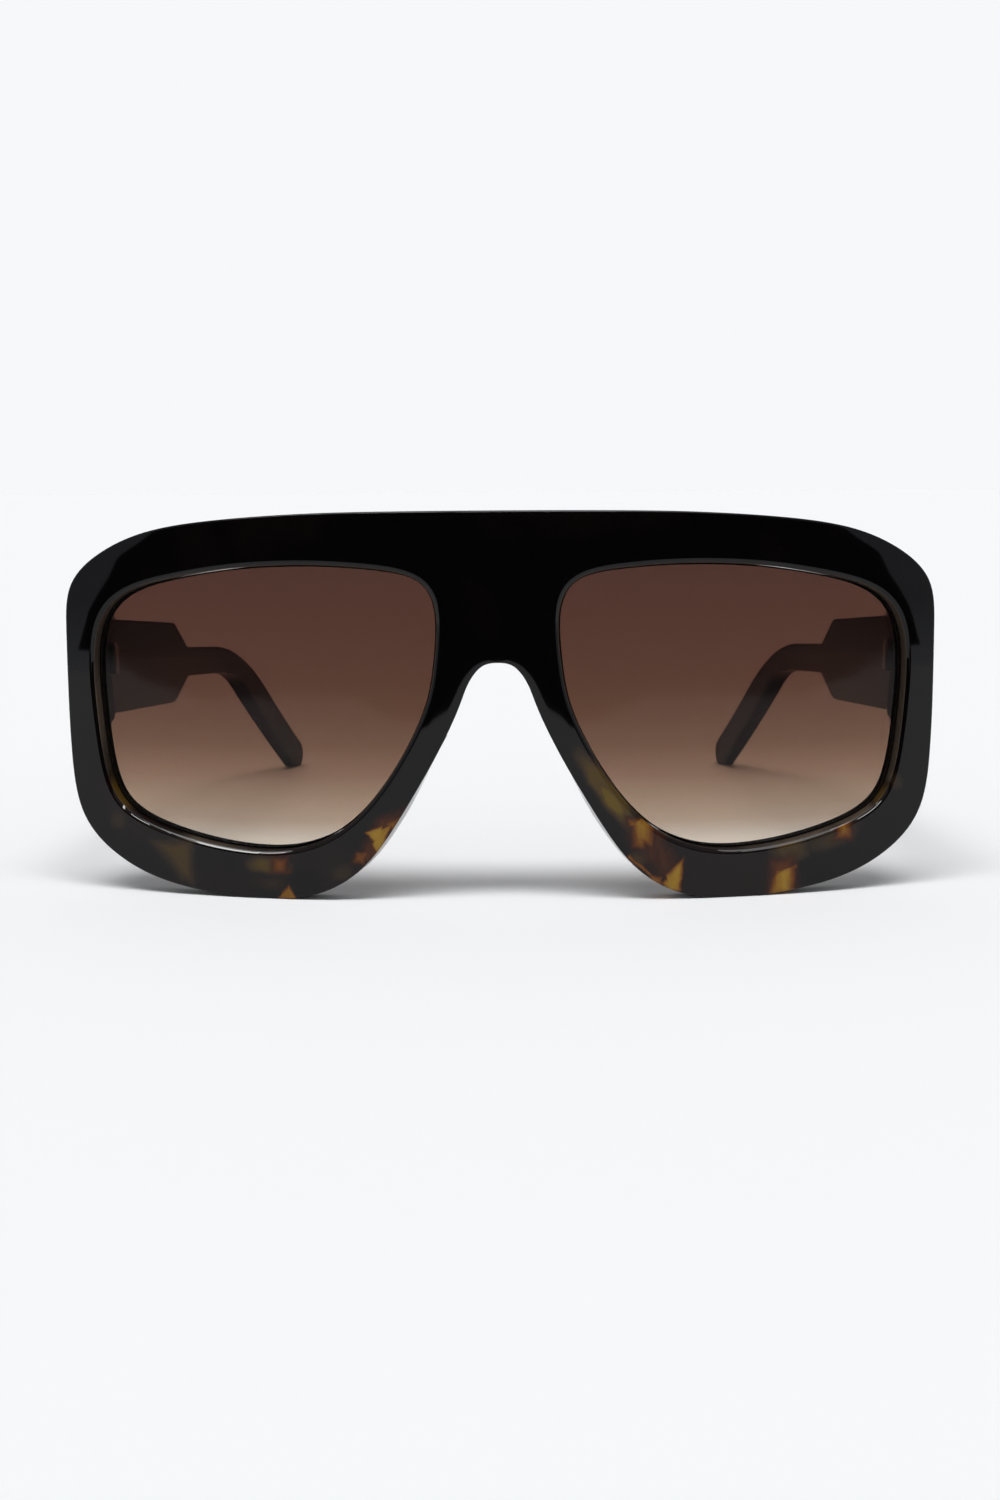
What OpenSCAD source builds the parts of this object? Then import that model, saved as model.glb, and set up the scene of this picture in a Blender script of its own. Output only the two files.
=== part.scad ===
/* [Lens openings] */
// Width of each lens opening, measured flat across the face
lens_w = 57.5; // [52:0.5:62]
// Height of each lens opening
lens_h = 46.6; // [42:0.2:50]
// Gap between the two lens openings where they are nearest
bridge_w = 19.4; // [17:0.2:23]

/* [Front] */
// Height of the brow above the lens openings
brow_h = 8.5; // [7:0.1:11]
// Height of the rim below the lens openings
lower_rim_h = 7.9; // [7:0.1:10]
// Width of the rim beside each temple
side_rim_w = 5; // [4.7:0.1:7]
// Height of the top of the nose arch above the resting face
arch_h = 38.9; // [36:0.1:42]
// Thickness of the front
front_t = 5; // [4.6:0.1:6]
// Radius to which the front is curved round the face
wrap_r = 200; // [170:5:260]
// Depth of the flat worn under each lower rim and temple tip
rest_flat = 0.2; // [0.1:0.05:0.4]

/* [Lenses] */
// Thickness of the lens
lens_t = 2; // [1.6:0.1:2.2]
// Distance from the face of the front to the face of the lens
lens_inset = 2.2; // [1.8:0.1:2.4]
// Thickness of the bead round the edge of the lens
bead_t = 0.8; // [0.6:0.1:1]
// Depth of the bead in its groove
bead_depth = 0.7; // [0.5:0.1:1]
// Gap between the lens and its rim
lens_gap = 0.05; // [0.02:0.01:0.1]

/* [Nose pads] */
// Length of a nose pad
pad_len = 13; // [10:0.5:14]
// Width of a nose pad
pad_w = 3.4; // [3:0.1:4]
// Height of a nose pad behind the front
pad_h = 4; // [3:0.1:5]
// Flare of the pad away from the nose
pad_flare = 15; // [8:1:20]
// Thickness of the film of glue under a pad
glue_t = 0.05; // [0.02:0.01:0.1]

/* [Temples] */
// Thickness of the temple at the hinge
temple_t = 4.4; // [4:0.1:4.8]
// Thickness of the temple at the tip
tip_t = 2.4; // [2.2:0.1:4]
// Height of the wide panel at the hinge
panel_h = 16.3; // [15:0.1:18]
// Length of the wide panel
panel_len = 44.5; // [38:0.5:50]
// Loss of height of the panel along its length
panel_taper = 1; // [0:0.1:3]
// Length of the sloping shoulder behind the panel
shoulder_len = 9.5; // [8:0.5:14]
// Height of the neck behind the shoulder
neck_h = 5.6; // [5:0.1:7]
// Length of the neck up to the bend
neck_len = 40; // [34:0.5:43]
// Width of the tip that lies behind the ear
tip_w = 6.2; // [5.4:0.2:9]
// Height of the middle of the panel at the hinge
temple_z = 36.8; // [34:0.1:38]
// Slope of the temple down towards the bend
temple_slope = 4.4; // [2:0.1:6]
// Distance along the temple from hinge to tip
temple_len = 136; // [131:0.5:145]
// Angle by which the temple leans inwards at the hinge
toe_in = 4.2; // [3:0.1:7]
// Distance along the temple at which it begins to curve inwards
curve_start = 60; // [50:1:70]
// Radius of the inward curve seen from above
curve_r = 430; // [320:10:600]

/* [Core wires] */
// Height of the flat wire inside the temple
wire_h = 1.6; // [1.2:0.1:2]
// Thickness of the flat wire
wire_t = 1; // [0.8:0.1:1.2]
// Distance from the hinge axis to the front end of the wire
wire_start = 14; // [12:0.5:18]
// Distance that the wire stops short of the tip
wire_stop = 12; // [9:0.5:20]

/* [Hinges] */
// Height of the hinge above the resting face
hinge_z = 38; // [36:0.1:39]
// Radius of the knuckles
knuckle_r = 1.3; // [1.1:0.05:1.4]
// Height of the middle knuckle, which the temple carries
mid_knuckle_h = 1.8; // [1.4:0.1:2.2]
// Height of each outer knuckle, which the front carries
end_knuckle_h = 1.4; // [1.1:0.1:1.6]
// Gap between one knuckle and the next
knuckle_gap = 0.06; // [0.04:0.01:0.1]
// Radius of the hinge screw
screw_r = 0.6; // [0.5:0.05:0.7]
// Gap between the screw and the knuckle that turns on it
screw_gap = 0.03; // [0.01:0.01:0.08]
// Radius of the screw head
head_r = 1.05; // [0.9:0.05:1.1]
// Height of the screw head
head_h = 0.6; // [0.4:0.1:0.8]
// Thickness of the hinge leaves
leaf_t = 1; // [0.8:0.1:1.2]
// Length of the leaf sunk in the temple
temple_leaf_len = 10; // [8:0.5:11]
// Distance that the hinge axis stands in from the inner face of the temple
axis_in = 0.6; // [0.4:0.1:0.9]
// Gap between the temple and the front when the temple is open
butt_gap = 0.2; // [0.15:0.05:0.3]
// Gap round the knuckles in the acetate
knuckle_room = 0.3; // [0.2:0.05:0.4]
// Depth to which each leaf is sunk below the face it is set in
leaf_sink = 0.5; // [0.3:0.1:0.8]

/* [Hidden] */
$fn = 64;

// Colours of the acetate, the lenses and the metal
acetate = [0.05, 0.035, 0.03];
lens_tint = [0.45, 0.33, 0.28, 0.6];
metal = [0.7, 0.7, 0.72];

// The nose side, temple side and middle of a lens opening, and its bottom, top and middle
nose_x = bridge_w / 2;
side_x = nose_x + lens_w;
mid_x = nose_x + lens_w / 2;
low_z = lower_rim_h;
high_z = low_z + lens_h;
mid_z = low_z + lens_h / 2;
top_z = high_z + brow_h;
outer_x = side_x + side_rim_w;

// The angle at which each lens faces outwards, and the depth of a curved layer at any x
lens_turn = asin(mid_x / wrap_r);
function wrap_y(x, r = wrap_r) = wrap_r - sqrt(r * r - x * x);

// A smooth closed curve through a ring of knots: a uniform cubic spline, whose control
// points come from the knots by the inverse of the spline's own weights
spline_steps = 6;
spline_pole = sqrt(3) - 2;
spline_reach = 10;
function sum_points(list, i = 0) = i < len(list) ? list[i] + sum_points(list, i + 1) : [0, 0];
function spline_control(knots, i) = sqrt(3) * sum_points([for (j = [-spline_reach:spline_reach])
    pow(spline_pole, abs(j)) * knots[(i + j + 4 * len(knots)) % len(knots)]]);
function spline_point(a, b, c, d, t) = (pow(1 - t, 3) * a + (3 * pow(t, 3) - 6 * t * t + 4) * b
    + (3 * t + 3 * t * t - 3 * pow(t, 3) + 1) * c + pow(t, 3) * d) / 6;
function closed_curve(knots) = let (n = len(knots),
    control = [for (i = [0:n - 1]) spline_control(knots, i)])
    [for (i = [0:n - 1], k = [0:spline_steps - 1])
        spline_point(control[(i + n - 1) % n], control[i], control[(i + 1) % n],
            control[(i + 2) % n], k / spline_steps)];

// The same ring moved outwards by a distance; the ring runs clockwise
function grown(ring, by) = let (n = len(ring)) [for (i = [0:n - 1])
    let (along = ring[(i + 1) % n] - ring[(i + n - 1) % n])
    ring[i] + by * [-along[1], along[0]] / norm(along)];

// A polygon whose corners, given as [x, y, radius], are rounded by arcs
corner_steps = 8;
function unit(v) = v / norm(v);
function rounded(corners) = let (n = len(corners)) [for (i = [0:n - 1])
    let (p = [corners[i][0], corners[i][1]], r = corners[i][2],
        before = [corners[(i + n - 1) % n][0], corners[(i + n - 1) % n][1]],
        after = [corners[(i + 1) % n][0], corners[(i + 1) % n][1]],
        u = unit(before - p), v = unit(after - p),
        half = acos(max(-1, min(1, u * v))) / 2,
        centre = p + unit(u + v) * r / sin(half),
        start = p + u * r / tan(half) - centre,
        end = p + v * r / tan(half) - centre,
        turn = 180 - 2 * half,
        way = start[0] * end[1] - start[1] * end[0] > 0 ? 1 : -1)
    for (k = [0:r > 0 ? corner_steps : 0])
        let (a = way * turn * k / corner_steps)
        r > 0 ? centre + [start[0] * cos(a) - start[1] * sin(a), start[0] * sin(a) + start[1] * cos(a)] : p];

// The lens opening in shares of its half width and half height, clockwise from the nose side
lens_shape = [[-0.93, 0.02], [-0.985, 0.34], [-0.995, 0.66], [-0.89, 0.895], [-0.6, 0.978],
    [-0.24, 1], [0.14, 0.978], [0.48, 0.915], [0.77, 0.815], [0.945, 0.62], [1, 0.3],
    [0.985, -0.1], [0.945, -0.46], [0.83, -0.73], [0.56, -0.89], [0.23, -0.98],
    [-0.1, -0.995], [-0.38, -0.89], [-0.6, -0.665], [-0.78, -0.35]];
lens_knots = [for (p = lens_shape) [mid_x + p[0] * lens_w / 2, mid_z + p[1] * lens_h / 2]];
lens_ring = closed_curve(lens_knots);

// Half of the front's outline, clockwise from the brow to the inner side of the lower rim, in
// shares of the way from the middle of the lens to the end, the brow and the resting face
rim_shape = [[-0.665, 0.998], [-0.222, 0.989], [0.195, 0.96], [0.535, 0.906], [0.789, 0.799],
    [0.962, 0.628], [0.997, 0.376], [0.998, 0.056], [0.991, -0.262], [0.946, -0.567],
    [0.791, -0.778], [0.551, -0.912], [0.259, -0.979], [-0.028, -1], [-0.289, -0.952],
    [-0.506, -0.793]];
rim_knots = [for (p = rim_shape) [mid_x + p[0] * (outer_x - mid_x),
    mid_z + p[1] * (p[1] > 0 ? top_z - mid_z : mid_z + rest_flat)]];

// Knots up the nose arm from its foot, then round the arch to its middle
arm_foot = [nose_x + 0.101 * lens_w, low_z + 0.142 * lens_h];
arm_middle = [nose_x + 0.012 * lens_w, low_z + 0.328 * lens_h];
arm_root = [0.68 * nose_x, 0.794 * arch_h];
arch_knots = [arm_foot, arm_middle, arm_root, [0.505 * nose_x, 0.905 * arch_h],
    [0.278 * nose_x, 0.982 * arch_h]];

half_outline = concat(rim_knots, arch_knots);
front_ring = closed_curve(concat([[0, top_z]], half_outline, [[0, arch_h]],
    [for (i = [len(half_outline) - 1:-1:0]) [-half_outline[i][0], half_outline[i][1]]]));

// Layers of the front, measured back from its face
bead_from = lens_inset + (lens_t - bead_t) / 2;
bead_to = bead_from + bead_t;
lens_to = lens_inset + lens_t;

// The end piece stands a little behind the front and a little taller than the temple
end_piece_out = 0.3;
end_piece_rise = 0.4;
end_piece_y = wrap_y(outer_x, wrap_r - front_t) + end_piece_out;
end_piece_h = panel_h + end_piece_rise;

// The hinge axis of the left temple, just inside the back of the front's left end
axis_inset = 1.2;
axis_x = side_x - axis_inset;
axis_y = end_piece_y + butt_gap / 2;
inner_x = axis_x + axis_in;
knuckles_h = mid_knuckle_h + 2 * (end_knuckle_h + knuckle_gap);
head_z = hinge_z + knuckles_h / 2;

// A point of the temple seen from above: a distance along its inner face, moved outwards
function bend_at(s) = max(0, s - curve_start) / curve_r * 180 / PI;
function plan_point(s, out = 0) = let (straight = min(s, curve_start), turn = toe_in + bend_at(s))
    [inner_x - straight * sin(toe_in) - curve_r * (cos(toe_in) - cos(turn)) + out * cos(turn),
        axis_y + straight * cos(toe_in) + curve_r * (sin(turn) - sin(toe_in)) + out * sin(turn)];

// The middle line of the temple seen from the side: straight to the bend, then down to the tip
neck_start = panel_len + shoulder_len;
bend_s = neck_start + neck_len;
tip_r = tip_w / 2;
tip_s = temple_len - tip_r;
tip_z = tip_r - rest_flat;
temple_fall = tan(temple_slope);
function middle_z(s) = temple_z - s * temple_fall;

// The temple's thickness, which falls from where the curve begins to the tip
function thin_share(s) = max(0, min(1, (s - curve_start) / (temple_len - curve_start)));
function thickness(s) = temple_t - (temple_t - tip_t) * thin_share(s);

drop_fall = (middle_z(bend_s) - tip_z) / (tip_s - bend_s);
drop_angle = atan(drop_fall);
drop_way = [cos(drop_angle), -sin(drop_angle)];
drop_up = [sin(drop_angle), cos(drop_angle)];

// Where an edge above or below the neck meets the edge of the drop, for their two offsets
function bend_corner(neck_off, drop_off) =
    let (s = bend_s + (drop_off / cos(drop_angle) - neck_off) / (drop_fall - temple_fall))
    [s, middle_z(s) + neck_off];
function drop_point(s, off) = [s, tip_z + (tip_s - s) * drop_fall] + off * drop_up;
function with_radius(p, r) = [p[0], p[1], r];

// Total depth, from the face of the front to the back of the tips
depth = plan_point(temple_len)[1];

module placed() {
    translate([0, -depth / 2, 0]) children();
}

// A child drawn for the wearer's left, at +X, or mirrored for the wearer's right
module on_side(side) {
    if (side == "left") children();
    else mirror([1, 0, 0]) children();
}

// A ring of [x, z] points on the curved face, cut back through the front the way the lens faces,
// with its ends well clear of the front
reach = 60;
module through_front(ring) {
    turned = [for (p = ring) [p[0] * cos(lens_turn) + wrap_y(p[0]) * sin(lens_turn), p[1]]];
    rotate([0, 0, lens_turn]) rotate([90, 0, 0]) translate([0, 0, -reach])
        linear_extrude(2 * reach) polygon(turned);
}

// The same ring cut straight back, as the nose arch is
module straight_back(ring) {
    rotate([90, 0, 0]) translate([0, 0, -reach]) linear_extrude(2 * reach) polygon(ring);
}

// The layer between two depths behind the curved face
module layer(from, to) {
    translate([0, wrap_r, 0]) difference() {
        cylinder(r = wrap_r - from, h = top_z + 1, $fn = 256);
        translate([0, 0, -1]) cylinder(r = wrap_r - to, h = top_z + 3, $fn = 256);
    }
}

// Everything behind a depth, from the resting face upwards
module behind(from) {
    translate([0, wrap_r, 0]) cylinder(r = wrap_r - from, h = top_z + 1, $fn = 256);
}

// The block that carries the hinge, behind the rim, as tall as the temple
module end_piece() {
    intersection() {
        through_front(front_ring);
        behind(lens_inset);
        translate([mid_x, 0, temple_z - end_piece_h / 2])
            cube([lens_w, end_piece_y, end_piece_h]);
    }
}

// The clear space round the hinge's knuckles and screw head
module hinge_room() {
    translate([axis_x, axis_y, head_z - knuckles_h - knuckle_room])
        cylinder(r = knuckle_r + knuckle_room, h = knuckles_h + head_h + 2 * knuckle_room);
}

module half_front() {
    difference() {
        union() {
            intersection() {
                layer(0, front_t);
                through_front(front_ring);
                straight_back(front_ring);
                cube([outer_x + front_t, wrap_r / 4, top_z + 1]);
            }
            end_piece();
        }
        through_front(lens_ring);
        intersection() {
            layer(bead_from - lens_gap, bead_to + lens_gap);
            through_front(grown(lens_ring, bead_depth + lens_gap));
        }
        hinge_room();
        front_leaf_solid();
    }
}

module front_frame() {
    color(acetate) placed() {
        half_front();
        mirror([1, 0, 0]) half_front();
    }
}

// The curved lens, with a bead round its edge that sits in the groove of the rim
module lens(side) {
    color(lens_tint) placed() on_side(side) {
        intersection() {
            layer(lens_inset, lens_to);
            through_front(grown(lens_ring, -lens_gap));
        }
        intersection() {
            layer(bead_from, bead_to);
            through_front(grown(lens_ring, bead_depth));
        }
    }
}

// A crowned pad glued on the middle of the nose arm's back, leaning away from the nose. The back
// of the arm is narrower than its face by what the lens opening's turn takes.
arm_cut = front_t * tan(lens_turn);
pad_middle = (arm_middle + lens_knots[len(lens_knots) - 1] - [arm_cut, 0]) / 2;
pad_lean = atan2(arm_root[1] - arm_foot[1], arm_foot[0] - arm_root[0]);
pad_crown = 2;
pad_crown_r = (pow(pad_len / 2, 2) + pow(pad_crown, 2)) / (2 * pad_crown);
module nose_pad(side) {
    color(acetate) placed() on_side(side) intersection() {
        behind(front_t + glue_t);
        translate([pad_middle[0], wrap_y(pad_middle[0], wrap_r - front_t), pad_middle[1]])
            rotate([0, pad_lean, 0]) rotate([pad_flare - 90, 0, 0]) intersection() {
                translate([0, 0, -pad_h]) linear_extrude(2 * pad_h) {
                    square([pad_len - pad_w, pad_w], center = true);
                    for (end = [-1, 1]) translate([end * (pad_len - pad_w) / 2, 0]) circle(d = pad_w);
                }
                translate([0, 0, pad_h - pad_crown_r]) sphere(r = pad_crown_r);
            }
    }
}

// The outline of the temple seen from the side, clockwise from its front end
panel_end_half = (panel_h - panel_taper) / 2;
shoulder_r = 7;
heel_r = 9;
heel_back = 1;
neck_corner_r = 2;
bend_top_r = 75;
bend_low_r = 28;
tip_round = 0.98 * tip_r;
overrun = 4;
temple_corners = [[-overrun, middle_z(-overrun) + panel_h / 2, 0],
    [panel_len, middle_z(panel_len) + panel_end_half, shoulder_r],
    [neck_start, middle_z(neck_start) + neck_h / 2, neck_corner_r],
    with_radius(bend_corner(neck_h / 2, tip_r), bend_top_r),
    with_radius(drop_point(tip_s, tip_r) + tip_r * drop_way, tip_round),
    with_radius(drop_point(tip_s, -tip_r) + tip_r * drop_way, tip_round),
    with_radius(bend_corner(-neck_h / 2, -tip_r), bend_low_r),
    [neck_start, middle_z(neck_start) - neck_h / 2, neck_corner_r],
    [panel_len - heel_back, middle_z(panel_len - heel_back) - panel_end_half, heel_r],
    [-overrun, middle_z(-overrun) - panel_h / 2, 0]];

// Corners given along the temple and up, as a plate that is curved in plan: as thick as the
// temple, or a thinner one down its middle
plan_step = 5;
function plate_point(s, side, width) = plan_point(s,
    (thickness(s) + side * (width > 0 ? width : thickness(s))) / 2);
module curved_plate(corners, width = 0) {
    stations = concat([-overrun], [for (s = [curve_start:plan_step:temple_len + overrun]) s],
        [temple_len + 2 * overrun]);
    last = len(stations) - 1;
    intersection() {
        rotate([90, 0, 90]) linear_extrude(inner_x + 2 * temple_t)
            polygon([for (p = rounded(corners)) [plan_point(p[0])[1], p[1]]]);
        translate([0, 0, -tip_w]) linear_extrude(top_z + tip_w)
            polygon(concat([for (s = stations) plate_point(s, -1, width)],
                [for (i = [last:-1:0]) plate_point(stations[i], 1, width)]));
    }
}

// The flat core wire, which follows the middle of the temple from behind the hinge into the tip
wire_bend_r = 50;
wire_end = tip_s - wire_stop;
module wire_solid() {
    curved_plate([[wire_start, middle_z(wire_start) + wire_h / 2, 0],
        with_radius(bend_corner(wire_h / 2, wire_h / 2), wire_bend_r),
        with_radius(drop_point(wire_end, wire_h / 2), 0),
        with_radius(drop_point(wire_end, -wire_h / 2), 0),
        with_radius(bend_corner(-wire_h / 2, -wire_h / 2), wire_bend_r),
        [wire_start, middle_z(wire_start) - wire_h / 2, 0]], wire_t);
}

module temple(side) {
    color(acetate) placed() on_side(side) difference() {
        intersection() {
            curved_plate(temple_corners);
            translate([0, axis_y + butt_gap / 2, 0]) cube([2 * outer_x, 2 * temple_len, top_z]);
        }
        wire_solid();
        hinge_room();
        temple_leaf_solid();
    }
}

module core_wire(side) {
    color(metal) placed() on_side(side) wire_solid();
}

// A cylinder on the hinge axis, between two heights
module on_axis(r, from, to) {
    translate([axis_x, axis_y, from]) cylinder(r = r, h = to - from);
}

// The front's leaf: a plate sunk behind the butt face, with the top and bottom knuckles
leaf_play = 0.15;
front_leaf_len = 5;
middle_top_z = hinge_z + mid_knuckle_h / 2;
middle_low_z = hinge_z - mid_knuckle_h / 2;
module front_leaf_solid() {
    difference() {
        union() {
            on_axis(knuckle_r, head_z - knuckles_h, head_z);
            translate([axis_x, axis_y - butt_gap / 2 - leaf_sink - leaf_t, head_z - knuckles_h])
                cube([front_leaf_len, leaf_t, knuckles_h]);
        }
        on_axis(knuckle_r + leaf_play, middle_low_z - knuckle_gap, middle_top_z + knuckle_gap);
        on_axis(screw_r, head_z - knuckles_h - 1, head_z + 1);
    }
}

// The temple's leaf: a plate sunk in the acetate, and a web that carries the middle knuckle
leaf_wall = 0.2;
leaf_in = knuckle_r + knuckle_room + leaf_wall;
leaf_start = 0.4;
web_w = 1.2;
leaf_margin = 0.3;
module temple_leaf_solid() {
    difference() {
        union() {
            on_axis(knuckle_r, middle_low_z, middle_top_z);
            translate([axis_x, axis_y, 0]) rotate([0, 0, toe_in]) {
                translate([0, butt_gap / 4, middle_low_z])
                    cube([leaf_in + leaf_t, web_w, mid_knuckle_h]);
                translate([leaf_in, leaf_start, head_z - knuckles_h + leaf_margin])
                    cube([leaf_t, temple_leaf_len, knuckles_h - 2 * leaf_margin]);
            }
        }
        on_axis(screw_r + screw_gap, middle_low_z - 1, middle_top_z + 1);
    }
}

module front_hinge_leaf(side) {
    color(metal) placed() on_side(side) front_leaf_solid();
}

module temple_hinge_leaf(side) {
    color(metal) placed() on_side(side) temple_leaf_solid();
}

// The slotted screw that pins the knuckles together
slot_w = 0.3;
slot_depth = 0.25;
module hinge_screw(side) {
    color(metal) placed() on_side(side) difference() {
        union() {
            on_axis(screw_r, head_z - knuckles_h, head_z);
            on_axis(head_r, head_z, head_z + head_h);
        }
        translate([axis_x - 2 * head_r, axis_y - slot_w / 2, head_z + head_h - slot_depth])
            cube([4 * head_r, slot_w, 1]);
    }
}

front_frame();
lens("left");  // left_lens
lens("right");  // right_lens
nose_pad("left");  // left_nose_pad
nose_pad("right");  // right_nose_pad
temple("left");  // left_temple
temple("right");  // right_temple
core_wire("left");  // left_core_wire
core_wire("right");  // right_core_wire
front_hinge_leaf("left");  // left_front_hinge_leaf
front_hinge_leaf("right");  // right_front_hinge_leaf
temple_hinge_leaf("left");  // left_temple_hinge_leaf
temple_hinge_leaf("right");  // right_temple_hinge_leaf
hinge_screw("left");  // left_hinge_screw
hinge_screw("right");  // right_hinge_screw
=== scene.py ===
from math import acos, asin, atan, copysign, cos, pi, radians, sin, sqrt, tan

import bmesh
import bpy
from mathutils import Matrix, Vector


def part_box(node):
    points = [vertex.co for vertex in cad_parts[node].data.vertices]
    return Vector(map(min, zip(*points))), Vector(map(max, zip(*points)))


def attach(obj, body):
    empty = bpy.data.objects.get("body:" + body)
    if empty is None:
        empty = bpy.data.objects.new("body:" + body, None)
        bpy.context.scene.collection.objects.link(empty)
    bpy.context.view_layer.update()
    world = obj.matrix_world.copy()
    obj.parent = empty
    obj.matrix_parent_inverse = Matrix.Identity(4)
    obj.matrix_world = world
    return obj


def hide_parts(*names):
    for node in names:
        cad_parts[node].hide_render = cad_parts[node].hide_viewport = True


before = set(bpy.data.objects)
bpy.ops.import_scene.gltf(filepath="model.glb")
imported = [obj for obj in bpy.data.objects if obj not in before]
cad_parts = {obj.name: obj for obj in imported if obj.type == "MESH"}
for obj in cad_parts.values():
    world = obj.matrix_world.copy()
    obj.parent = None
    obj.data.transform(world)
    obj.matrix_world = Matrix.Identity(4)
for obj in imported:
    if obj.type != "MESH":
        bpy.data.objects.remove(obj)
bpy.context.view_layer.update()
bpy.ops.object.select_all(action="DESELECT")
mm = 0.001


# The camera stands 30 cm in front of the face of the frame, a little higher than the brow, and
# looks slightly down, so that the temples show through the lenses. It stands a little to the
# wearer's left of the middle and is turned back by about as much, and is held not quite level.
front_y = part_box("front_frame")[0].y
camera_place = (5 * mm, front_y - 300 * mm, 67.2 * mm)
camera_turn = 0.0157
camera_tilt = 0.1399
camera_lean = 0.0065
aim = (
    Matrix.Rotation(camera_turn, 3, "Z") @ Matrix.Rotation(pi / 2 - camera_tilt, 3, "X")
    @ Matrix.Rotation(-camera_lean, 3, "Z")
)
bpy.ops.object.camera_add(location=camera_place, rotation=aim.to_euler())
camera = bpy.context.object
camera.name = "camera"
camera.data.sensor_fit = "VERTICAL"
camera.data.sensor_height = 36
camera.data.lens = 45.4
camera.data.clip_start = 10 * mm
bpy.context.scene.camera = camera
bpy.context.scene.view_settings.view_transform = "Standard"


# The table and the room: a plain pale table top, and pale walls so far away that they show no
# corner. An even light from all round fills the shadows, lamps hang overhead, and the polish
# mirrors a dimmer ceiling between them.
pale = (0.93, 0.938, 0.955, 1)
bpy.ops.mesh.primitive_plane_add(size=30, location=(0, 0, -0.05 * mm))
table = bpy.context.object
table.name = "table"
table_paint = bpy.data.materials.new("table_paint")
table_paint.use_nodes = True
table_shader = table_paint.node_tree.nodes["Principled BSDF"]
table_shader.inputs["Base Color"].default_value = pale
table_shader.inputs["Roughness"].default_value = 0.9
table_shader.inputs["Specular IOR Level"].default_value = 0
table.data.materials.append(table_paint)


def new_node(nodes, kind, **settings):
    made = nodes.new(kind)
    for name, value in settings.items():
        setattr(made, name, value)
    return made


def larger(nodes, link, one, other):
    """The larger of two levels, or the second where there is no first yet."""
    if one is None:
        return other
    most = new_node(nodes, "ShaderNodeMath", operation="MAXIMUM")
    link(one, most.inputs[0])
    link(other, most.inputs[1])
    return most.outputs[0]


def both(nodes, link, share, one, other):
    """Two surfaces in one, by a share that is 0 where only the first shows."""
    mixed = new_node(nodes, "ShaderNodeMixShader")
    if isinstance(share, float):
        mixed.inputs["Fac"].default_value = share
    else:
        link(share, mixed.inputs["Fac"])
    link(one, mixed.inputs[1])
    link(other, mixed.inputs[2])
    return mixed.outputs[0]


fill_level = 0.41
ceiling_level = 0.4
room = bpy.data.worlds.new("room")
bpy.context.scene.world = room
room.use_nodes = True
nodes = room.node_tree.nodes
link = room.node_tree.links.new
nodes.clear()
rays = new_node(nodes, "ShaderNodeLightPath")
seen = larger(nodes, link, rays.outputs["Is Camera Ray"], rays.outputs["Is Transmission Ray"])
walls = new_node(nodes, "ShaderNodeBackground")
walls.inputs["Color"].default_value = pale
fill_light = new_node(nodes, "ShaderNodeBackground")
fill_light.inputs["Strength"].default_value = fill_level
ceiling = new_node(nodes, "ShaderNodeBackground")
ceiling.inputs["Color"].default_value = pale
ceiling.inputs["Strength"].default_value = ceiling_level
light = both(nodes, link, rays.outputs["Is Glossy Ray"], fill_light.outputs[0], ceiling.outputs[0])
room_out = new_node(nodes, "ShaderNodeOutputWorld")
link(both(nodes, link, seen, light, walls.outputs[0]), room_out.inputs["Surface"])

# A row of five lamps hangs across the room a little in front of the frame, so its shadow falls
# just behind it and fans out to both sides
sun_forward = radians(16.5)
sun_share = 0.1355
for i, across in enumerate((-22, -12, -3, 7, 16)):
    bpy.ops.object.light_add(type="SUN", rotation=(sun_forward, radians(across), 0))
    sun = bpy.context.object
    sun.name = "overhead_lamp_%d" % (i + 1)
    sun.data.angle = radians(20)
    sun.data.energy = sun_share * pi / (cos(sun_forward) * cos(radians(across)))

# A dark curtain hangs in front of the frame and keeps the upper half of the polished front
# black. Beyond it a low wall puts grey in the polish towards the ends. Only polished surfaces
# see them, and the three soft boxes above, which draw the white streaks along the lens openings.
def only_in_polish(piece):
    piece.visible_camera = False
    piece.visible_diffuse = False
    piece.visible_shadow = False
    piece.visible_transmission = False


def glow(name, colour, strength):
    material = bpy.data.materials.new(name)
    material.use_nodes = True
    nodes = material.node_tree.nodes
    nodes.clear()
    light = nodes.new("ShaderNodeEmission")
    light.inputs["Color"].default_value = colour
    light.inputs["Strength"].default_value = strength
    out = nodes.new("ShaderNodeOutputMaterial")
    material.node_tree.links.new(light.outputs[0], out.inputs["Surface"])
    return material


# The curtain hangs round the face at this distance, turned a little to one side. Its lower edge is
# up in the middle and at both ends, and each side edge leans in: places across are in degrees,
# heights in mm.
curtain_away = 200
curtain_end = 68.4
curtain_steps = 80
curtain_lean = -0.8
curtain_foot = [
    (0, 20), (5.5, 14.5), (8, 8.4), (12, 4), (16, 4), (25, 11), (50, 13), (60, 20), (66, 27.5),
    (curtain_end, 28.3),
]
curtain_side = [
    (42, 130), (46, 90), (52, 66), (58.4, 55), (61.5, 51), (63.3, 45.5), (65, 41.8), (66.8, 37),
    (curtain_end, 28.3),
]


def level_at(line, turn):
    """The height of a line of (degrees, height) at so many degrees."""
    for (a, low), (b, high) in zip(line, line[1:]):
        if turn <= b:
            return low + (high - low) * max(0, turn - a) / (b - a)
    return line[-1][1]


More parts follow.
